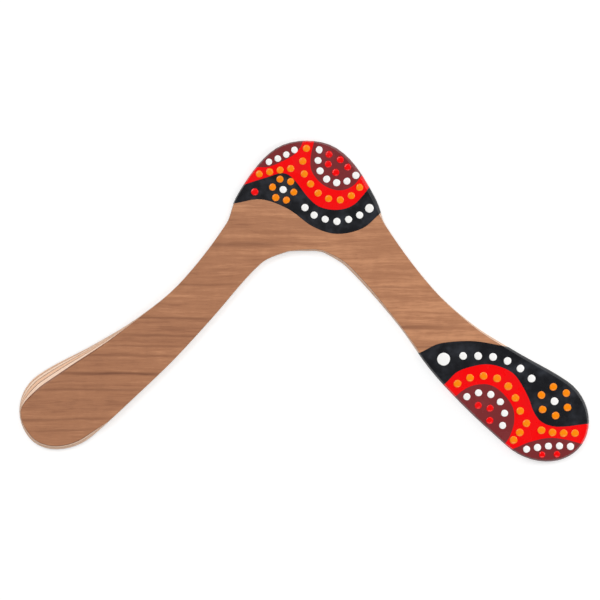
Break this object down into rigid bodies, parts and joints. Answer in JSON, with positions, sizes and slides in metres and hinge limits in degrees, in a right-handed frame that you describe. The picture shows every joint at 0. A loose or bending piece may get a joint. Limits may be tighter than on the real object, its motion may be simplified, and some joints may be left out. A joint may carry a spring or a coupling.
{
  "type": "boomerang",
  "caption": "Two-bladed wooden returning boomerang in veneered plywood, with a stepped bevel and gloss-painted wavy bands and dots on the bend and one tip",
  "frame": {"origin": "middle of the span and depth, on the flat underside", "axes": "+X along the span towards the painted tip, +Y from the wing tips to the bend, +Z out of the decorated face"},
  "size_m": [0.3809, 0.2146, 0.0066],
  "materials": {
    "walnut_face": "satin lacquer",
    "walnut_back": "satin lacquer",
    "birch": "satin lacquer",
    "glue": "matte",
    "black_paint": "gloss paint",
    "red_paint": "gloss paint",
    "maroon_paint": "gloss paint",
    "white_dots": "gloss paint",
    "orange_dots": "gloss paint",
    "red_dots": "gloss paint"
  },
  "bodies": {
    "root": {"back_veneer": "walnut_back", "glue_line_1": "glue", "birch_ply_1": "birch", "glue_line_2": "glue", "birch_ply_2": "birch", "glue_line_3": "glue", "birch_ply_3": "birch", "glue_line_4": "glue", "birch_ply_4": "birch", "glue_line_5": "glue", "birch_ply_5": "birch", "glue_line_6": "glue", "face_veneer": "walnut_face", "bend_black_paint": "black_paint", "bend_red_paint": "red_paint", "bend_left_maroon_paint": "maroon_paint", "bend_right_maroon_paint": "maroon_paint", "tip_black_paint": "black_paint", "tip_red_paint": "red_paint", "tip_side_maroon_paint": "maroon_paint", "tip_end_maroon_paint": "maroon_paint", "bend_left_white_dots": "white_dots", "bend_orange_dots": "orange_dots", "bend_ring_white_dots": "white_dots", "bend_red_dots": "red_dots", "bend_row_white_dots": "white_dots", "bend_flower_petals": "orange_dots", "bend_flower_centre": "white_dots", "bend_red_spot": "red_dots", "tip_row_white_dots": "white_dots", "tip_orange_dots": "orange_dots", "tip_side_white_dots": "white_dots", "tip_side_red_dots": "red_dots", "tip_end_white_dots": "white_dots", "tip_end_red_dots": "red_dots", "tip_flower_petals": "orange_dots", "tip_flower_centre": "white_dots"}
  },
  "joints": []
}
